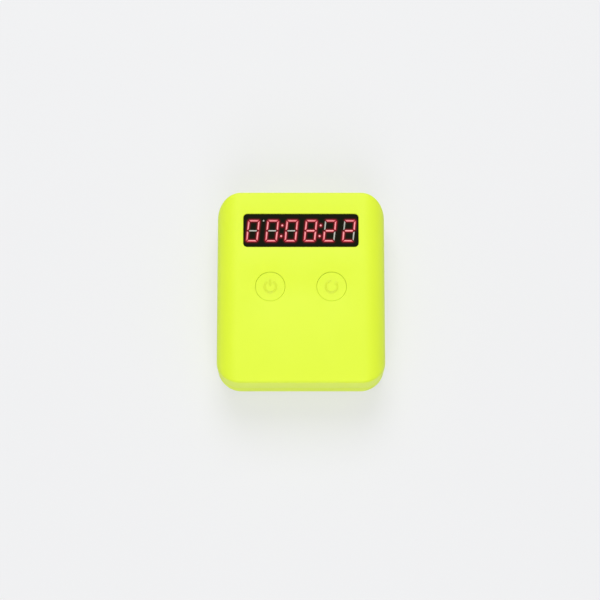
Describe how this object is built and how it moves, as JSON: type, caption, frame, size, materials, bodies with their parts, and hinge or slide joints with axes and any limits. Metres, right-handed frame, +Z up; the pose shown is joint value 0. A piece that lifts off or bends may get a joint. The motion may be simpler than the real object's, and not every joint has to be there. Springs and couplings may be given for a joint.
{
  "type": "speed cube timer",
  "caption": "Palm-sized electronic timer with a soft-shouldered yellow-green case, an inset red digit display, round press buttons, hidden touch plates and a sliding battery door",
  "frame": {"origin": "On the table, under the middle of the case, at the bottom of the rubber feet", "axes": "+X to the right as the display is read, +Y from the touch plates towards the display along the length, +Z up out of the top face"},
  "size_m": [0.07, 0.0804, 0.025],
  "materials": {
    "case_plastic": "satin moulded ABS, fluorescent yellow-green",
    "foot_rubber": "matte moulded rubber",
    "screw_steel": "satin zinc-plated steel",
    "display_face": "satin black face of the display module",
    "lit_bars": "satin cast resin, lit red",
    "unlit_bars": "satin cast resin, unlit pale grey",
    "module_board": "satin glass-epoxy laminate",
    "main_board": "satin green solder mask on glass-epoxy laminate",
    "tinned_legs": "satin tinned metal",
    "chip_epoxy": "matte moulded epoxy",
    "steel_can": "satin nickel-plated steel",
    "aluminium_can": "satin aluminium",
    "chip_ceramic": "matte fired ceramic",
    "spring_steel": "satin nickel-plated spring steel",
    "copper_plate": "satin copper sheet",
    "switch_plastic": "matte moulded plastic",
    "cell_jacket": "gloss printed jacket, left plain",
    "black_lead": "satin wire insulation",
    "red_lead": "satin wire insulation"
  },
  "bodies": {
    "case": {"top_shell": "case_plastic", "bottom_shell": "case_plastic", "rubber_feet": "foot_rubber", "case_screws": "screw_steel", "board_screws": "screw_steel", "display_housing": "display_face", "display_lit_bars": "lit_bars", "display_unlit_bars": "unlit_bars", "display_board": "module_board", "display_pins": "tinned_legs", "main_board": "main_board", "microcontroller": "chip_epoxy", "display_driver": "chip_epoxy", "resistors": "chip_epoxy", "digit_transistors": "chip_epoxy", "microcontroller_legs": "tinned_legs", "display_driver_legs": "tinned_legs", "crystal": "steel_can", "capacitor": "aluminium_can", "bypass_capacitors": "chip_ceramic", "negative_contact": "spring_steel", "positive_contact": "spring_steel", "front_link_contact": "spring_steel", "back_link_contact": "spring_steel", "cell_springs": "spring_steel", "left_cell": "cell_jacket", "middle_cell": "cell_jacket", "right_cell": "cell_jacket", "negative_lead": "black_lead", "positive_lead": "red_lead", "left_switch_base": "switch_plastic", "left_switch_cover": "steel_can", "left_switch_dome": "spring_steel", "left_switch_legs": "tinned_legs", "left_touch_plate": "copper_plate", "left_touch_spring": "spring_steel", "right_switch_base": "switch_plastic", "right_switch_cover": "steel_can", "right_switch_dome": "spring_steel", "right_switch_legs": "tinned_legs", "right_touch_plate": "copper_plate", "right_touch_spring": "spring_steel"},
    "left_button": {"left_button_cap": "case_plastic", "left_switch_plunger": "switch_plastic"},
    "right_button": {"right_button_cap": "case_plastic", "right_switch_plunger": "switch_plastic"},
    "door": {"battery_door": "case_plastic"}
  },
  "joints": [
    {"name": "left_button_press", "type": "slide", "parent": "case", "child": "left_button", "axis": [0, 0, -1], "range_m": [0, 0.0003], "stiffness_N_per_m": 400, "deforming": ["left_switch_dome"]},
    {"name": "right_button_press", "type": "slide", "parent": "case", "child": "right_button", "axis": [0, 0, -1], "range_m": [0, 0.0003], "stiffness_N_per_m": 400, "deforming": ["right_switch_dome"]},
    {"name": "battery_door_slide", "type": "slide", "parent": "case", "child": "door", "axis": [0, 1, 0], "range_m": [0, 0.057]}
  ]
}
